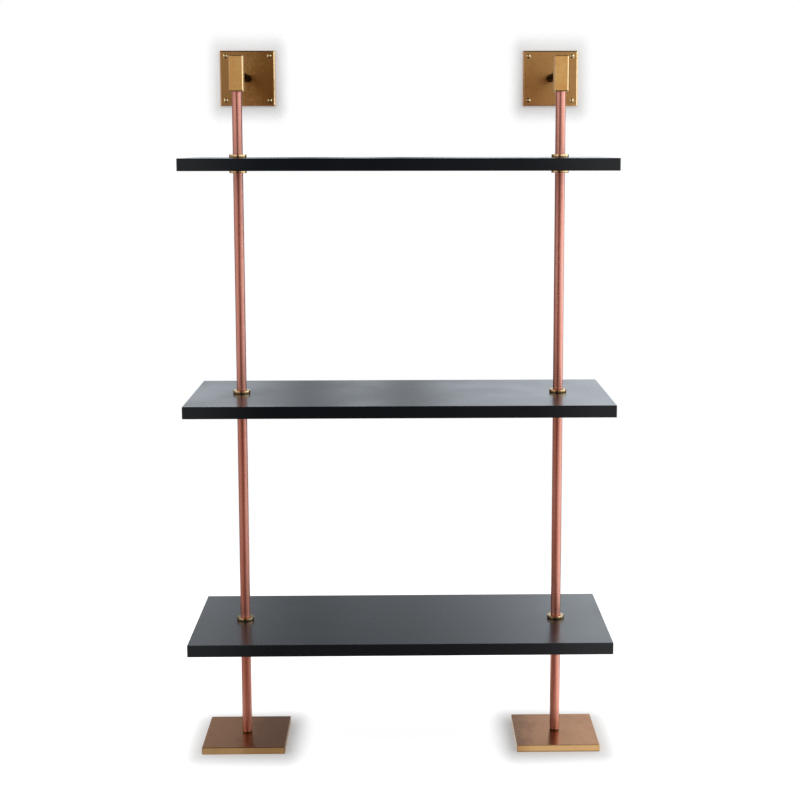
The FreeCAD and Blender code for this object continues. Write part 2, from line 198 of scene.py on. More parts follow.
# Brass, bronze and steel: clouds of patina, blotches, grain, and eased edges in a colour of their own,
# partly rubbed wear and partly painted highlight and painted dark reflection
def makeMetal(name, values):
    material, tree, shader = newMaterial(name)
    cloud = noise(tree, values["cloudSize"], 4, 0.6)
    blotch = noise(tree, values["blotchSize"], 3, 0.6)
    grain = noise(tree, values["grainSize"], 2, 0.6, values["grainRun"])
    mottle = work(tree, "ADD", work(tree, "MULTIPLY", cloud, 0.45), work(tree, "MULTIPLY", blotch, 0.33))
    mottle = work(tree, "ADD", mottle, work(tree, "MULTIPLY", grain, 0.22))
    aged = mapped(tree, mottle, 0.5 - values["contrast"], 0.5 + values["contrast"])
    if "paintedLightFrom" in values:
        # paler away from the middle of the shelf, and more so on the right: painted light
        across = partOf(tree, spot(tree), "X")
        lean = work(tree, "MULTIPLY", across, values["paintedLightLean"])
        across = work(tree, "ADD", work(tree, "ABSOLUTE", across), lean)
        paintedLightOutward = mapped(tree, across, *values["paintedLightFrom"])
        aged = mapped(tree, work(tree, "ADD", aged, work(tree, "MULTIPLY", paintedLightOutward, 1.4)), 0.5, 1.9)
    colour = blendColours(tree, aged, values["patina"], values["colour"])
    # faces that look up take their own colour; on the collars this darker top is painted shade
    if "topColour" in values:
        onTop = blendColours(tree, aged, values["topPatina"], values["topColour"])
        colour = blendColours(tree, mapped(tree, facing(tree, "Z"), 0.8, 0.95), colour, onTop)
    if "under" in values:
        # painted shade where the side turns down to the board
        paintedShadeDown = mapped(tree, facing(tree, "Z"), -0.17, -0.05, 1, 0)
        colour = blendColours(tree, paintedShadeDown, colour, values["under"])
    # eased edges take their own colour: rubbed wear, and also painted highlight on the blocks and painted
    # dark reflection on the feet
    edgeWearAndPaintedLight = easedEdges(tree, values["turned"])
    edgeTone = work(tree, "MULTIPLY", edgeWearAndPaintedLight, mapped(tree, blotch, 0.3, 0.6, 0.3, 1))
    colour = blendColours(tree, work(tree, "MULTIPLY", edgeTone, values["edgeShare"]), colour, values["edge"])
    put(tree, shader.inputs["Base Color"], colour)
    shader.inputs["Metallic"].default_value = 1
    if "glance" in values:
        shader.inputs["Specular Tint"].default_value = (*values["glance"], 1)
    low, high = values["roughness"]
    satin = mapped(tree, mottle, 0.35, 0.65, high, low)
    put(tree, shader.inputs["Roughness"], mapped(tree, edgeWearAndPaintedLight, 0, 1, satin, values["edgeRoughness"]))
    relief = bump(tree, blotch, values["blotchDepth"])
    put(tree, shader.inputs["Normal"], bump(tree, grain, values["grainDepth"], relief))
    return material


def addCircle(mesh, x, y, reach, z, count):
    ring = []
    for i in range(count):
        angle = math.tau * i / count
        ring.append(mesh.verts.new((x + reach * math.cos(angle), y + reach * math.sin(angle), z)))
    return ring


def joinRings(mesh, rings, closed):
    # faces between one ring of points and the next
    for first, second in zip(rings, rings[1:] + rings[:1] if closed else rings[1:]):
        count = len(first)
        for i in range(count):
            j = (i + 1) % count
            mesh.faces.new((first[i], first[j], second[j], second[i]))


def addPiece(name, mesh, material, replaced):
    bmesh.ops.recalc_face_normals(mesh, faces=mesh.faces)
    data = bpy.data.meshes.new(name)
    mesh.to_mesh(data)
    mesh.free()
    for face in data.polygons:
        face.use_smooth = True
    data.set_sharp_from_angle(angle=math.radians(35))
    piece = bpy.data.objects.new(name, data)
    scene.collection.objects.link(piece)
    dress(piece, material)
    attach(piece, "root")
    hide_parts(replaced)
    return piece


# Boards: charcoal lacquer, satin, with a faint orange peel, a few specks and slightly rubbed edges
boards = {
    "colour": (0.0003, 0.0040, 0.0068),
    "cloudColour": (0.0008, 0.0048, 0.0078),
    # lighter towards the ends of each board: painted light
    "paintedLightEndColour": (0.0125, 0.0170, 0.0195),
    "paintedLightEndFrom": (0.26, 0.46),
    "rubbedColour": (0.020, 0.023, 0.026),
    "speckColour": (0.20, 0.21, 0.22),
    "speckSpacing": 34 * mm,
    "roughness": (0.24, 0.29),
    "ior": 1.43,
    "cloudSize": 0.16,
    "peelSize": 2.5 * mm,
    "peelDepth": 0.003 * mm,
}


def makeLacquer(values):
    material, tree, shader = newMaterial("charcoal_lacquer")
    cloud = noise(tree, values["cloudSize"], 2, 0.5)
    edge = easedEdges(tree, False)
    edgeTone = work(tree, "MULTIPLY", edge, mapped(tree, noise(tree, 14 * mm, 3), 0.48, 0.7))
    specks = addNode(tree, "ShaderNodeTexVoronoi")
    put(tree, specks.inputs["Vector"], spot(tree))
    specks.inputs["Scale"].default_value = 1 / values["speckSpacing"]
    speck = mapped(tree, specks.outputs["Distance"], 0.016, 0.026, 1, 0)
    speck = work(tree, "MULTIPLY", speck, mapped(tree, edge, 0, 1, 0.25, 1))
    colour = blendColours(tree, mapped(tree, cloud, 0.35, 0.7), values["colour"], values["cloudColour"])
    # the colour turns lighter towards the ends of each board: painted light
    along = work(tree, "ABSOLUTE", partOf(tree, spot(tree), "X"))
    colour = blendColours(tree, mapped(tree, along, *values["paintedLightEndFrom"]), colour, values["paintedLightEndColour"])
    colour = blendColours(tree, edgeTone, colour, values["rubbedColour"])
    colour = blendColours(tree, speck, colour, values["speckColour"])
    put(tree, shader.inputs["Base Color"], colour)
    low, high = values["roughness"]
    fine = work(tree, "MULTIPLY", noise(tree, 0.8 * mm), 0.15)
    satin = mapped(tree, work(tree, "ADD", cloud, fine), 0.3, 0.85, low, high)
    put(tree, shader.inputs["Roughness"], satin)
    shader.inputs["IOR"].default_value = values["ior"]
    put(tree, shader.inputs["Normal"], bump(tree, noise(tree, values["peelSize"]), values["peelDepth"]))
    return material


dressNodes("shelf_", makeLacquer(boards))
print("boards dressed")


# Rods: copper tube, turned with fine rings, under a thin clear coat
rods = {
    "colour": (0.86, 0.365, 0.26),
    "deepColour": (0.78, 0.29, 0.19),
    # darker in the grooves between the rings: painted shade
    "grooveShadeColour": (0.38, 0.15, 0.10),
    "grooveShadeShare": 0.15,
    "coat": 1.0,
    "coatIor": 1.6,
    "coatRoughness": 0.12,
    "roughness": (0.36, 0.44),
    "spread": 0.6,
    "ringPitch": 5.7 * mm,
    "ringDepth": 0.22 * mm,
    "ringRows": 6,
    "around": 40,
    "wall": 1.5 * mm,
    "ease": 0.4 * mm,
    "markDepth": 0.001 * mm,
}


def makeCopper(values):
    material, tree, shader = newMaterial("copper")
    cloud = noise(tree, 0.05, 3, 0.55, (1, 1, 0.25))
    colour = blendColours(tree, mapped(tree, cloud, 0.3, 0.72), values["colour"], values["deepColour"])
    turns = work(tree, "MULTIPLY", partOf(tree, spot(tree), "Z"), math.tau / values["ringPitch"])
    # darker in the grooves between the rings: painted shade
    grooveShade = mapped(tree, work(tree, "COSINE", turns), 0.1, 0.8, 0, values["grooveShadeShare"])
    colour = blendColours(tree, grooveShade, colour, values["grooveShadeColour"])
    put(tree, shader.inputs["Base Color"], colour)
    shader.inputs["Metallic"].default_value = 1
    low, high = values["roughness"]
    put(tree, shader.inputs["Roughness"], mapped(tree, noise(tree, 0.02, 3), 0.3, 0.7, low, high))
    shader.inputs["Coat Weight"].default_value = values["coat"]
    shader.inputs["Coat IOR"].default_value = values["coatIor"]
    shader.inputs["Coat Roughness"].default_value = values["coatRoughness"]
    # the turning marks spread the gloss along the rod, at right angles to the way round it
    shader.inputs["Anisotropic"].default_value = values["spread"]
    shader.inputs["Anisotropic Rotation"].default_value = 0.25
    roundTheRod = addNode(tree, "ShaderNodeTangent", direction_type="RADIAL", axis="Z")
    put(tree, shader.inputs["Tangent"], roundTheRod.outputs[0])
    marks = noise(tree, 0.5 * mm, 2, 0.6, (0.02, 0.02, 1))
    put(tree, shader.inputs["Normal"], bump(tree, marks, values["markDepth"]))
    return material


def makeRod(side, values, material):
    low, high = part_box(f"rod_{side}")
    x, y = (low.x + high.x) / 2, (low.y + high.y) / 2
    radius = (high.x - low.x) / 2
    bore = radius - values["wall"]
    ease = values["ease"]
    outline = [(bore, low.z), (radius - ease, low.z), (radius, low.z + ease)]
    step = values["ringPitch"] / values["ringRows"]
    row = math.ceil((low.z + ease) / step) + 1
    while row * step < high.z - ease:
        sunk = values["ringDepth"] * (1 + math.cos(math.tau * row / values["ringRows"])) / 2
        outline.append((radius - sunk, row * step))
        row += 1
    outline += [(radius, high.z - ease / 2), (radius - ease, high.z), (bore, high.z)]
    mesh = bmesh.new()
    rings = [addCircle(mesh, x, y, reach, z, values["around"]) for reach, z in outline]
    joinRings(mesh, rings, True)
    addPiece(f"ringed_rod_{side}", mesh, material, f"rod_{side}")


copper = makeCopper(rods)
for side in sides:
    makeRod(side, rods, copper)
print("rods built")


# Collars and foot rings: polished brass
collars = {
    "colour": (1.0, 0.72, 0.37),
    "patina": (0.90, 0.60, 0.27),
    # darker tops: painted shade
    "topColour": (0.44, 0.35, 0.25),
    "topPatina": (0.35, 0.26, 0.17),
    # darker where the side turns down to the board: painted shade
    "under": (0.20, 0.12, 0.055),
    "glance": (0.72, 0.67, 0.58),
    "edge": (0.94, 0.74, 0.50),
    "edgeShare": 0.5,
    "edgeRoughness": 0.06,
    "contrast": 0.16,
    "cloudSize": 0.02,
    "blotchSize": 5 * mm,
    "grainSize": 0.8 * mm,
    "grainRun": (1, 1, 0.2),
    "blotchDepth": 0.004 * mm,
    "grainDepth": 0.002 * mm,
    "roughness": (0.03, 0.06),
    "turned": True,
    "boreGap": 0.1 * mm,
    "soft": 0.3 * mm,
    "bulge": 0.30 * mm,
    "sideSteps": 10,
    "around": 96,
    "holeRadius": 2.1 * mm,
}


def makeCollar(tier, level, side, values, material):
    name = f"collar_{tier}_{level}_{side}"
    low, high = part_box(name)
    rodLow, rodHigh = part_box(f"rod_{side}")
    x, y = (rodLow.x + rodHigh.x) / 2, (rodLow.y + rodHigh.y) / 2
    radius, height = (high.x - low.x) / 2, high.z - low.z
    bore, soft = (rodHigh.x - rodLow.x) / 2 + values["boreGap"], values["soft"]
    outline = [(bore, soft), (bore + soft, 0)]
    for i in range(values["sideSteps"] + 1):
        share = 2 * i / values["sideSteps"] - 1
        bulge = values["bulge"] * share ** 2
        outline.append((radius - bulge, height / 2 + share * (height / 2 - soft)))
    outline.insert(2, (radius - values["bulge"] - soft, 0))
    outline += [(radius - values["bulge"] - soft, height), (bore + soft, height), (bore, height - soft)]
    mesh = bmesh.new()
    rings = [addCircle(mesh, x, y, reach, low.z + z, values["around"]) for reach, z in outline]
    joinRings(mesh, rings, True)
    sharp = [edge for edge in mesh.edges if edge.calc_face_angle(0) > 0.5]
    bmesh.ops.bevel(mesh, geom=sharp, offset=soft / 3, segments=2, affect="EDGES")
    piece = addPiece(f"polished_{name}", mesh, material, name)
    cutHole(piece, (x, y + radius, low.z + height / 2), values["holeRadius"], radius - bore)


def cutHole(piece, place, radius, depth):
    # a round hole from the back, for the set screw
    mesh = bmesh.new()
    turn = Matrix.Translation(place) @ Matrix.Rotation(math.radians(90), 4, "X")
    bmesh.ops.create_cone(
        mesh, cap_ends=True, segments=32, radius1=radius, radius2=radius, depth=4 * depth, matrix=turn
    )
    data = bpy.data.meshes.new("cutter")
    mesh.to_mesh(data)
    mesh.free()
    cutter = bpy.data.objects.new("cutter", data)
    cut = piece.modifiers.new("set_screw_hole", "BOOLEAN")
    scene.collection.objects.link(cutter)
    cut.object = cutter
    cut.solver = "EXACT"
    bpy.context.view_layer.update()
    cutMesh = bpy.data.meshes.new_from_object(piece.evaluated_get(bpy.context.evaluated_depsgraph_get()))
    piece.modifiers.clear()
    piece.data = cutMesh
    bpy.data.objects.remove(cutter)


polishedBrass = makeMetal("polished_brass", collars)
for side in sides:
    for tier in ("bottom", "middle", "top"):
        for level in ("upper", "lower"):
            makeCollar(tier, level, side, collars, polishedBrass)

# the foot rings are much darker than the collars: painted dark reflection, and their lighter eased edges are
# painted glints
footRings = dict(collars)
footRings["colour"] = (0.30, 0.17, 0.075)
footRings["patina"] = (0.16, 0.085, 0.035)
footRings["edge"] = (0.85, 0.62, 0.36)
dressNodes("foot_ring_", makeMetal("ring_brass_painted_dark", footRings))
print("collars and foot rings done")


# Feet: brushed brass, darker and browner on top
feet = {
    "colour": (0.52, 0.315, 0.14),
    "patina": (0.41, 0.232, 0.094),
    "topColour": (0.345, 0.156, 0.062),
    "topPatina": (0.20, 0.078, 0.025),
    "glance": (1.0, 0.96, 0.92),
    # paler away from the middle and on the right: painted light
    "paintedLightFrom": (0.26, 0.36),
    "paintedLightLean": 0.10,
    # dark eased edges: painted dark reflection
    "edge": (0.20, 0.115, 0.055),
    "edgeShare": 0.7,
    "edgeRoughness": 0.24,
    "contrast": 0.16,
    "cloudSize": 0.06,
    "blotchSize": 16 * mm,
    "grainSize": 1.3 * mm,
    "grainRun": (0.12, 1, 1),
    "blotchDepth": 0.006 * mm,
    "grainDepth": 0.006 * mm,
    "roughness": (0.27, 0.35),
    "turned": False,
}
dressNodes("foot_plate_", makeMetal("foot_brass", feet))


# Blocks on top of the rods: lighter, softly brushed brass
blocks = {
    "colour": (1.0, 0.62, 0.22),
    "patina": (0.92, 0.51, 0.155),
    # lighter eased edges: painted highlight
    "edge": (1.0, 0.80, 0.50),
    "edgeShare": 0.8,
    "edgeRoughness": 0.16,
    "contrast": 0.07,
    "cloudSize": 0.03,
    "blotchSize": 5 * mm,
    "grainSize": 1.2 * mm,
    "grainRun": (1, 1, 0.4),
    "blotchDepth": 0.012 * mm,
    "grainDepth": 0.008 * mm,
    "roughness": (0.46, 0.56),
    "turned": False,
}
dressNodes("rod_block_", makeMetal("block_brass", blocks))


# Wall plates: darker brass with a mottled brown patina
wallPlates = {
    "colour": (0.61, 0.336, 0.112),
    "patina": (0.39, 0.186, 0.049),
    # paler away from the middle and on the right: painted light
    "paintedLightFrom": (0.258, 0.352),
    "paintedLightLean": 0.12,
    "edge": (0.90, 0.62, 0.32),
    "edgeShare": 0.8,
    "edgeRoughness": 0.15,
    "contrast": 0.095,
    "cloudSize": 0.06,
    "blotchSize": 4.5 * mm,
    "grainSize": 1.1 * mm,
    "grainRun": (1, 1, 0.5),
    "blotchDepth": 0.010 * mm,
    "grainDepth": 0.006 * mm,
    "roughness": (0.30, 0.40),
    "turned": False,
}
dressNodes("wall_plate_", makeMetal("wall_brass", wallPlates))


# Stems: bronze coloured near black, with the glancing reflection turned down: painted shade
stems = {
    "colour": (0.024, 0.016, 0.011),
    "patina": (0.012, 0.008, 0.006),
    "edge": (0.08, 0.055, 0.035),
    "edgeShare": 0.5,
    "glance": (0.10, 0.08, 0.06),
    "edgeRoughness": 0.2,
    "contrast": 0.16,
    "cloudSize": 0.02,
    "blotchSize": 5 * mm,
    "grainSize": 0.8 * mm,
    "grainRun": (1, 0.1, 1),
    "blotchDepth": 0.006 * mm,
    "grainDepth": 0.004 * mm,
    "roughness": (0.18, 0.28),
    "turned": False,
}
dressNodes("wall_stem_", makeMetal("dark_bronze", stems))


# Screws and plugs that don't show from the front
hiddenSteel = {
    "colour": (0.12, 0.12, 0.125),
    "patina": (0.055, 0.055, 0.058),
    "edge": (0.28, 0.28, 0.29),
    "edgeShare": 0.5,
    "edgeRoughness": 0.25,
    "contrast": 0.16,
    "cloudSize": 6 * mm,
    "blotchSize": 2 * mm,
    "grainSize": 0.5 * mm,
    "grainRun": (1, 1, 1),
    "blotchDepth": 0.004 * mm,
    "grainDepth": 0.003 * mm,
    "roughness": (0.28, 0.42),
    "turned": True,
}
blackSteel = makeMetal("black_steel", hiddenSteel)
for start in ("foot_screw_", "set_screws_", "block_grub_screw_", "stem_screw_"):
    dressNodes(start, blackSteel)

plugs = dict(hiddenSteel)
plugs["colour"] = (0.70, 0.54, 0.27)
plugs["patina"] = (0.55, 0.40, 0.18)
plugs["edge"] = (0.80, 0.62, 0.34)
dressNodes("rod_plug_", makeMetal("plain_brass", plugs))
print("brass, bronze and steel dressed")


# Wall screws: oval heads with a slot, a plain neck and a cut thread
wallScrews = {
    "colour": (0.88, 0.68, 0.38),
    "patina": (0.55, 0.36, 0.15),
    "edge": (0.95, 0.80, 0.52),
    "edgeShare": 0.3,
    "edgeRoughness": 0.12,
    "contrast": 0.16,
    "cloudSize": 8 * mm,
    "blotchSize": 3 * mm,
    "grainSize": 0.5 * mm,
    "grainRun": (1, 1, 1),
    "blotchDepth": 0.004 * mm,
    "grainDepth": 0.002 * mm,
    "roughness": (0.14, 0.24),
    "turned": False,
    "inset": 12.5 * mm,
    "headRadius": 5 * mm,
    "dome": 1.8 * mm,
    "neckRadius": 2.1 * mm,
    "threadRadius": 2.4 * mm,
    "rootRadius": 1.65 * mm,
    "threadPitch": 1.9 * mm,
    "plate": 8 * mm,
    "end": 46 * mm,
    "tip": 9 * mm,
    "slotWidth": 1.5 * mm,
    "slotDepth": 1.7 * mm,
    "around": 32,
    "rowsPerTurn": 8,
    "turns": {"left": (35, 80, 50, 100), "right": (120, 70, 60, 110)},
}


def addRing(mesh, radius, z, values):
    ring = []
    for i in range(values["around"]):
        angle = math.tau * i / values["around"]
        reach = radius(angle) if callable(radius) else radius
        ring.append(mesh.verts.new((reach * math.cos(angle), reach * math.sin(angle), z)))
    return ring


def makeScrewMesh(values):
    # along Z, with the plate's front at 0 and the tip on the plus side
    head, dome, neck = values["headRadius"], values["dome"], values["neckRadius"]
    curve = (head ** 2 + dome ** 2) / (2 * dome)
    outline = []
    for share in (0.12, 0.25, 0.38, 0.5, 0.62, 0.74, 0.85, 0.94):
        outline.append((head * share, curve - dome - math.sqrt(curve ** 2 - (head * share) ** 2)))
    rim = 0.08 * mm
    outline += [(head - rim / 2, -rim), (head, rim / 2), (head - rim, 2 * rim)]
    outline += [(neck, head - neck), (neck, values["plate"])]
    mesh = bmesh.new()
    top = mesh.verts.new((0, 0, -dome))
    rings = [addRing(mesh, r, z, values) for r, z in outline]
    for i in range(values["around"]):
        mesh.faces.new((top, rings[0][(i + 1) % values["around"]], rings[0][i]))
    joinRings(mesh, rings, False)
    end = mesh.verts.new((0, 0, values["plate"]))
    for i in range(values["around"]):
        mesh.faces.new((end, rings[-1][i], rings[-1][(i + 1) % values["around"]]))
    # the slot: cut the dome on both sides of it, then sink what lies between
    half = values["slotWidth"] / 2
    for across in (-half, half, -half - 0.02 * mm, half + 0.02 * mm):
        geometry = mesh.verts[:] + mesh.edges[:] + mesh.faces[:]
        bmesh.ops.bisect_plane(mesh, geom=geometry, plane_co=(across, 0, 0), plane_no=(1, 0, 0))
    floor = values["slotDepth"] - dome
    for vert in mesh.verts:
        if abs(vert.co.x) < half + 0.001 * mm and vert.co.z < floor:
            vert.co.z = floor
    # the thread: each ring's radius follows the turn of a screw
    pitch, depth = values["threadPitch"], values["threadRadius"] - values["rootRadius"]
    step = pitch / values["rowsPerTurn"]
    rows = int((values["end"] - values["plate"]) / step)
    threadRings = []
    for row in range(rows):
        z = values["plate"] + row * step

        def reach(angle, z=z):
            phase = (z / pitch - angle / math.tau) % 1
            crest = max(0, 1 - abs(phase - 0.5) / 0.32)
            slim = min(1, (values["end"] - z) / values["tip"])
            return (values["rootRadius"] + depth * crest) * slim

        threadRings.append(addRing(mesh, reach, z, values))
    joinRings(mesh, threadRings, False)
    tip = mesh.verts.new((0, 0, values["end"]))
    start = mesh.verts.new((0, 0, values["plate"]))
    for i in range(values["around"]):
        j = (i + 1) % values["around"]
        mesh.faces.new((threadRings[-1][i], threadRings[-1][j], tip))
        mesh.faces.new((threadRings[0][j], threadRings[0][i], start))
    return mesh


def makeWallScrews(side, values, material):
    low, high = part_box(f"wall_plate_{side}")
    toWall = Matrix.Rotation(math.radians(-90), 4, "X")
    mesh = bmesh.new()
    inset = values["inset"]
    corners = []
    for x in (low.x + inset, high.x - inset):
        corners += [(x, low.z + inset), (x, high.z - inset)]
    for (x, z), turn in zip(corners, values["turns"][side]):
        one = makeScrewMesh(values)
        place = Matrix.Translation((x, low.y, z)) @ toWall @ Matrix.Rotation(math.radians(turn), 4, "Z")
        bmesh.ops.transform(one, matrix=place, verts=one.verts)
        data = bpy.data.meshes.new("one_screw")
        one.to_mesh(data)
        one.free()
        mesh.from_mesh(data)
        bpy.data.meshes.remove(data)
    addPiece(f"threaded_wall_screws_{side}", mesh, material, f"wall_screws_{side}")


screwBrass = makeMetal("screw_brass", wallScrews)
for side in sides:
    makeWallScrews(side, wallScrews, screwBrass)
print("wall screws built")


# The studio: floor, pieces of wall, world and lamps
studio = {
    "paleColour": (0.80, 0.80, 0.80),
    "floorCentre": (0, -0.05),
    "floorReach": (0.95, 1.7),
    "floorGlow": 0.66,
    # weaker glow round the feet: painted shadow
    "footShadowGlow": 0.22,
    "footCentre": (0.35, -0.05),
    "footHalf": (0.092, 0.092),
    "footRim": (0.062, 0.11),
    "patchSize": 0.14,
    "plateHalf": (0.063, 0.063),
    "plateRim": (0.038, 0.047),
    # weak glow, so the wall patch shows as a painted shadow round each plate
    "patchGlow": 0.17,
    "worldLevel": 0.80,
    "lamps": {
        "right_softbox": {"place": (2.6, -1.6, 2.0), "target": (0, 0, 0.7), "size": (1.6, 2.2), "power": 11},
        "left_softbox": {"place": (-2.6, -1.6, 2.0), "target": (0, 0, 0.7), "size": (1.6, 2.2), "power": 8},
    },
}

# What gloss shows: levels by the angle in degrees, to the right of straight behind or straight ahead
surroundings = {
    "peak": 4.0,
    "darkTint": (1.0, 0.50, 0.38),
    "brightTint": (0.90, 0.97, 1.05),
    "brightLevel": 0.9,
    "frontHigh": (
        (-170, 1.6), (-44, 1.9), (-35, 1.4), (-27, 0.10), (10, 0.10), (17, 1.0), (25, 2.8), (40, 3.2),
        (80, 3.2), (170, 1.8),
    ),
    "behindLow": (
        (-90, 0.8), (-60, 0.3), (-35, 0.1), (-20, 0.5), (-12, 1.45), (-7.3, 1.4), (-5.6, 1.2), (-4.6, 0.70),
        (-3.4, 0.25), (-2.6, 0.70), (-1.6, 1.75), (-0.9, 0.80), (0.2, 0.15), (1.0, 0.80), (1.8, 1.5),
        (3, 1.5), (6.6, 1.55), (12, 1.6), (20, 0.5), (35, 0.1), (60, 0.3), (90, 0.8),
    ),
    "behindHigh": (
        (-90, 0.9), (-60, 0.6), (-35, 0.3), (-20, 0.6), (-12, 0.82), (-7.1, 0.72), (-6.3, 0.60),
        (-5.4, 0.44), (-4.6, 0.34), (-3.2, 0.20), (-2.2, 0.68), (1.4, 0.68), (2.6, 0.48), (3.7, 0.48),
        (4.9, 1.1), (6.6, 1.85), (12, 2.0), (20, 0.8), (35, 0.3), (60, 0.6), (90, 0.9),
    ),
    "behindTop": (
        (-90, 0.7), (-60, 0.5), (-35, 0.3), (-20, 0.5), (-12, 0.68), (-7.6, 0.62), (-6.8, 0.48),
        (-5.8, 0.12), (-5.0, 0), (-3.0, 0), (0, 0.04), (3.5, 0.22), (5.1, 0.56), (6.0, 1.15), (7.6, 1.8),
        (12, 2.0), (20, 0.8), (35, 0.3), (60, 0.5), (90, 0.7),
    ),
    "riseToHigh": (0.20, 0.28),
    "riseToTop": (0.322, 0.365),
    "centre": (-0.20, -0.05),
    "radius": 2.2,
    "top": 2.3,
    "lift": 3 * mm,
    "innerRadius": 0.03,
    "step": 5,
    "ahead": (
        (-150, 0.05), (-121, 0.06), (-113, 0.55), (-90, 0.74), (-58, 0.72), (-38, 0.62), (-30, 0.56),
        (-25, 0.36), (-21, 0.14), (-12, 0.10), (-8, 0.08), (8, 0.09), (12, 0.14), (19, 0.30), (24, 0.46),
        (30, 0.42), (36, 0.36), (45, 0.48), (50, 0.95), (56, 1.45), (63, 1.1), (71, 0.92), (80, 1.2),
        (91, 1.85), (106, 1.9), (114, 0.8), (120, 0.08), (140, 0.05),
    ),
    "aheadHigh": (
        (-150, 0.05), (-121, 0.06), (-113, 0.5), (-90, 0.50), (-58, 0.60), (-35, 0.95), (-20, 1.0),
        (-16, 0.74), (-12, 0.26), (-8, 0.10), (2, 0.10), (8, 0.34), (14, 0.44), (20, 0.50), (25, 1.0),
        (33, 1.12), (44, 0.85), (52, 1.4), (71, 1.0), (91, 1.7), (106, 1.7), (114, 0.8), (120, 0.08),
        (140, 0.05),
    ),
    "riseToAheadHigh": (1.34, 1.48),
    "floorCentre": (0.30, -0.05),
    "onFloor": (
        (-150, 0.20), (-77, 0.32), (-57, 0.24), (-41, 0.19), (-25, 0.20), (-10, 0.24), (0, 0.26), (4, 0.30),
        (9, 0.44), (16, 0.52), (24, 0.56), (34, 0.78), (62, 1.00), (95, 1.0), (115, 0.5), (140, 0.3),
    ),
    "stripSpan": 0.6,
    "feetStrip": {
        "near": (-0.2, -0.1),
        "far": (0.12, 0.19),
        "levels": (
            (-0.6, 0.36), (-0.46, 0.64), (-0.26, 0.64), (-0.22, 0.20), (0.22, 0.20), (0.26, 1.15),
            (0.46, 1.3), (0.6, 1.2),
        ),
    },
    "boardStrip": {
        "near": (0.78, 0.88),
        "far": (1.02, 1.14),
        "levels": (
            (-0.6, 0.30), (-0.4, 0.22), (0, 0.20), (0.16, 0.34), (0.32, 0.66), (0.48, 0.90), (0.6, 1.2),
        ),
    },
    "overhead": {"centre": (0, -0.1, 2.7), "half": (1.3, 1.0), "level": 0.06},
}


def backgroundRays(tree):
    # 1 for rays from the camera and for what shows in gloss or through glass
    path = addNode(tree, "ShaderNodeLightPath")
    direct = work(tree, "MAXIMUM", path.outputs["Is Camera Ray"], path.outputs["Is Glossy Ray"])
    return work(tree, "MAXIMUM", direct, path.outputs["Is Transmission Ray"])


def levelRamp(tree, turn, levels, values, tinted):
    first, last = levels[0][0], levels[-1][0]
    along = mapped(tree, turn, math.radians(first), math.radians(last), soft=False)
    stops = []
    for angle, level in levels:
        share = 1 - tinted * (1 - min(1, level / values["brightLevel"]))
        tint = [a + (b - a) * share for a, b in zip(values["darkTint"], values["brightTint"])]
        stops.append(((angle - first) / (last - first), [part * level / values["peak"] for part in tint]))
    return ramp(tree, along, stops)


def makeWorld(values, gloss):
    world = bpy.data.worlds.new("studio")
    world.use_nodes = True
    tree = world.node_tree
    tree.nodes.clear()
    direction = addNode(tree, "ShaderNodeTexCoord").outputs["Generated"]
    aside, away, up = (partOf(tree, direction, letter) for letter in "XYZ")
    turn = work(tree, "ARCTAN2", aside, away)
    behind = levelRamp(tree, turn, gloss["behindLow"], gloss, 0)
    for name, rise, tinted in (("behindHigh", "riseToHigh", 0), ("behindTop", "riseToTop", 0.7)):
        layer = levelRamp(tree, turn, gloss[name], gloss, tinted)
        behind = blendColours(tree, mapped(tree, up, *gloss[rise]), behind, layer)
    turn = work(tree, "ARCTAN2", aside, work(tree, "MULTIPLY", away, -1))
    front = levelRamp(tree, turn, gloss["frontHigh"], gloss, 1)
    shown = blendColours(tree, mapped(tree, away, -0.1, 0.1), front, behind)
    path = addNode(tree, "ShaderNodeLightPath")
    plainLight = addNode(tree, "ShaderNodeBackground")
    plainLight.inputs["Color"].default_value = (1, 1, 1, 1)
    plainLight.inputs["Strength"].default_value = values["worldLevel"]
    inGloss = addNode(tree, "ShaderNodeBackground")
    put(tree, inGloss.inputs["Color"], shown)
    inGloss.inputs["Strength"].default_value = gloss["peak"]
    white = addNode(tree, "ShaderNodeBackground")
    white.inputs["Color"].default_value = (1, 1, 1, 1)
    white.inputs["Strength"].default_value = 1
    mirrored = work(tree, "MAXIMUM", path.outputs["Is Glossy Ray"], path.outputs["Is Transmission Ray"])
    result = plainLight.outputs[0]
    for share, shader in ((mirrored, inGloss), (path.outputs["Is Camera Ray"], white)):
        mix = addNode(tree, "ShaderNodeMixShader")
        put(tree, mix.inputs[0], share)
        put(tree, mix.inputs[1], result)
        put(tree, mix.inputs[2], shader.outputs[0])
        result = mix.outputs[0]
    put(tree, addNode(tree, "ShaderNodeOutputWorld").inputs[0], result)
    scene.world = world


def outside(tree, letters, centre, half, rim):
    # 0 on a rectangle and 1 where its soft rim ends, the same on the left and the right
    squares = []
    for letter, middle, reach, soft in zip(letters, centre, half, rim):
        along = partOf(tree, spot(tree), letter)
        if letter == "X":
            along = work(tree, "ABSOLUTE", along)
        offset = work(tree, "ABSOLUTE", work(tree, "SUBTRACT", along, middle))
        beyond = work(tree, "MAXIMUM", work(tree, "SUBTRACT", offset, reach), 0)
        squares.append(work(tree, "POWER", work(tree, "DIVIDE", beyond, soft), 2))
    return work(tree, "SQRT", work(tree, "ADD", *squares))


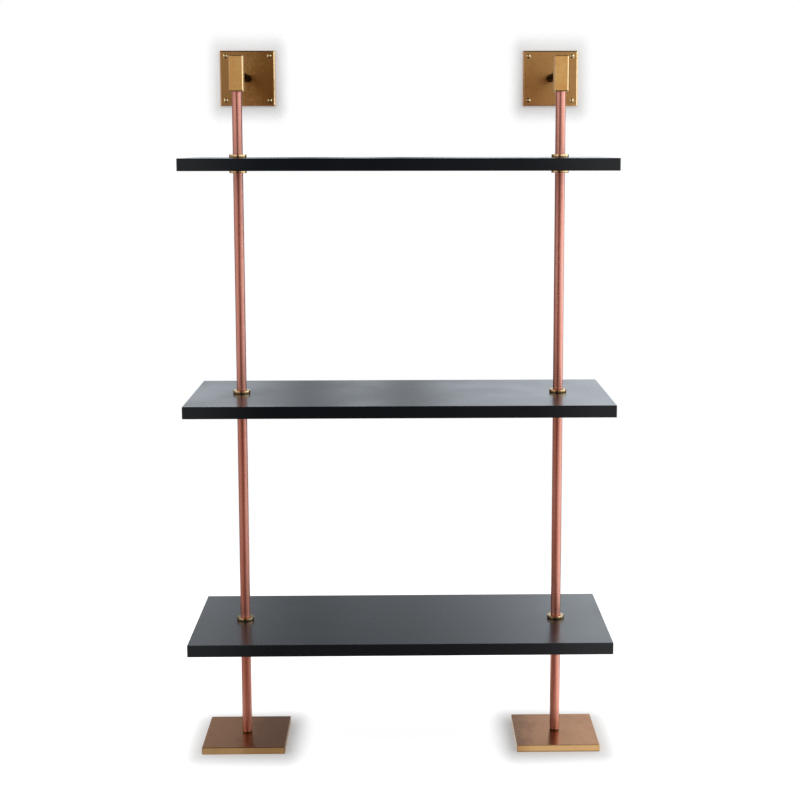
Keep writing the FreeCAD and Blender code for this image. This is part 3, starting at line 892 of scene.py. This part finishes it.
def makePale(fresh, colour, glow, clear):
    # pale paper that is see-through where clear is 1
    material, tree, shader = fresh
    paper = addNode(tree, "ShaderNodeBsdfDiffuse")
    paper.inputs["Color"].default_value = (*colour, 1)
    light = addNode(tree, "ShaderNodeEmission")
    put(tree, light.inputs["Strength"], work(tree, "MULTIPLY", backgroundRays(tree), glow))
    both = addNode(tree, "ShaderNodeAddShader")
    put(tree, both.inputs[0], paper.outputs[0])
    put(tree, both.inputs[1], light.outputs[0])
    mix = addNode(tree, "ShaderNodeMixShader")
    put(tree, mix.inputs[0], clear)
    put(tree, mix.inputs[1], both.outputs[0])
    put(tree, mix.inputs[2], addNode(tree, "ShaderNodeBsdfTransparent").outputs[0])
    tree.nodes.remove(shader)
    put(tree, tree.nodes["Material Output"].inputs["Surface"], mix.outputs[0])
    return material


def addStage(name, corners, faces, material):
    data = bpy.data.meshes.new(name)
    data.from_pydata(corners, [], faces)
    item = bpy.data.objects.new(name, data)
    scene.collection.objects.link(item)
    dress(item, material)
    return item


def flatCorners(x, y, z, halfAcross, halfDeep):
    left, right, front, back = x - halfAcross, x + halfAcross, y - halfDeep, y + halfDeep
    return [(left, front, z), (right, front, z), (right, back, z), (left, back, z)]


def makeFloor(values):
    # the glow is weaker round the feet, which paints a shadow round each foot on top of their real soft
    # shadow
    x, y = values["floorCentre"]
    half = values["floorReach"][1] + 0.1
    corners = flatCorners(x, y, 0, half, half)
    fresh = newMaterial("pale_floor")
    tree = fresh[1]
    paintedShadowFromFoot = outside(tree, "XY", values["footCentre"], values["footHalf"], values["footRim"])
    glow = mapped(tree, paintedShadowFromFoot, 0, 1, values["footShadowGlow"], values["floorGlow"])
    clear = mapped(tree, outside(tree, "XY", (x, y), (0, 0), (1, 1)), *values["floorReach"])
    material = makePale(fresh, values["paleColour"], glow, clear)
    addStage("floor", corners, [(0, 1, 2, 3)], material)


def makeWallPatch(side, values):
    # a piece of pale wall behind one wall plate, seen only from the front; it fades out away from the plate,
    # a painted shadow round the plate on top of the plate's real shadow
    low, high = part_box(f"wall_plate_{side}")
    x, y, z = (low.x + high.x) / 2, high.y, (low.z + high.z) / 2
    half = values["patchSize"]
    left, right, bottom, top = x - half, x + half, z - half, z + half
    corners = [(left, y, bottom), (right, y, bottom), (right, y, top), (left, y, top)]
    name = f"wall_patch_{side}"
    fresh = newMaterial(name)
    tree = fresh[1]
    paintedShadowFromPlate = outside(tree, "XZ", (abs(x), z), values["plateHalf"], values["plateRim"])
    unseen = addNode(tree, "ShaderNodeNewGeometry").outputs["Backfacing"]
    clear = work(tree, "MAXIMUM", mapped(tree, paintedShadowFromPlate, 0, 1), unseen)
    material = makePale(fresh, values["paleColour"], values["patchGlow"], clear)
    addStage(name, corners, [(0, 1, 2, 3)], material)


def makeLamp(name, values):
    data = bpy.data.lights.new(name, "AREA")
    data.shape = "RECTANGLE"
    data.size, data.size_y = values["size"]
    data.energy = values["power"]
    lamp = bpy.data.objects.new(name, data)
    scene.collection.objects.link(lamp)
    aim = Vector(values["target"]) - Vector(values["place"])
    turn = aim.to_track_quat("-Z", "Y").to_matrix().to_4x4()
    lamp.matrix_world = Matrix.Translation(values["place"]) @ turn
    lamp.visible_camera = False
    lamp.visible_glossy = False


def glossOnly(item):
    item.visible_camera = False
    item.visible_diffuse = False
    item.visible_shadow = False
    item.visible_transmission = False


def makeGlow(name, strength):
    material, tree, shader = newMaterial(name)
    tree.nodes.remove(shader)
    light = addNode(tree, "ShaderNodeEmission")
    light.inputs["Strength"].default_value = strength
    put(tree, tree.nodes["Material Output"].inputs["Surface"], light.outputs[0])
    return material, tree, light


def turnFrom(tree, centre):
    # the angle to the right of straight ahead, seen from the centre
    aside = work(tree, "SUBTRACT", partOf(tree, spot(tree), "X"), centre[0])
    ahead = work(tree, "SUBTRACT", centre[1], partOf(tree, spot(tree), "Y"))
    return work(tree, "ARCTAN2", aside, ahead)


def makeCards(values):
    # one curved card round the front and one overhead, both seen only in gloss
    material, tree, light = makeGlow("curved_card", values["peak"])
    x, y = values["centre"]
    turn = turnFrom(tree, (x, y))
    standing = levelRamp(tree, turn, values["ahead"], values, 1)
    standingHigh = levelRamp(tree, turn, values["aheadHigh"], values, 1)
    height = partOf(tree, spot(tree), "Z")
    standing = blendColours(tree, mapped(tree, height, *values["riseToAheadHigh"]), standing, standingHigh)
    lying = levelRamp(tree, turnFrom(tree, values["floorCentre"]), values["onFloor"], values, 1.3)
    span = values["stripSpan"]
    along = mapped(tree, partOf(tree, spot(tree), "X"), -span, span, soft=False)
    ahead = work(tree, "SUBTRACT", y, partOf(tree, spot(tree), "Y"))
    for strip in (values["feetStrip"], values["boardStrip"]):
        stops = []
        for place, level in strip["levels"]:
            stops.append(((place + span) / (2 * span), [level / values["peak"]] * 3))
        begun, ended = mapped(tree, ahead, *strip["near"]), mapped(tree, ahead, *strip["far"])
        lying = blendColours(tree, work(tree, "SUBTRACT", begun, ended), lying, ramp(tree, along, stops))
    rise = mapped(tree, height, 0.02, 0.5)
    put(tree, light.inputs["Color"], blendColours(tree, rise, lying, standing))
    first, last = values["ahead"][0][0], values["ahead"][-1][0]
    corners, faces = [], []
    inner, outer, lift = values["innerRadius"], values["radius"], values["lift"]
    for angle in range(first, last + 1, values["step"]):
        sine, cosine = math.sin(math.radians(angle)), math.cos(math.radians(angle))
        for radius, z in ((inner, lift), (outer, lift), (outer, values["top"])):
            corners.append((x + radius * sine, y - radius * cosine, z))
    for i in range(len(corners) // 3 - 1):
        for j in range(2):
            faces.append((3 * i + j, 3 * i + j + 1, 3 * i + j + 4, 3 * i + j + 3))
    glossOnly(addStage("curved_card", corners, faces, material))
    over = values["overhead"]
    corners = flatCorners(*over["centre"], *over["half"])
    material = makeGlow("overhead_card", over["level"])[0]
    glossOnly(addStage("overhead_card", corners, [(0, 1, 2, 3)], material))


makeWorld(studio, surroundings)
makeFloor(studio)
for side in sides:
    makeWallPatch(side, studio)
for name, values in studio["lamps"].items():
    makeLamp(name, values)
makeCards(surroundings)
print("stage set")

scene.view_settings.view_transform = "Standard"
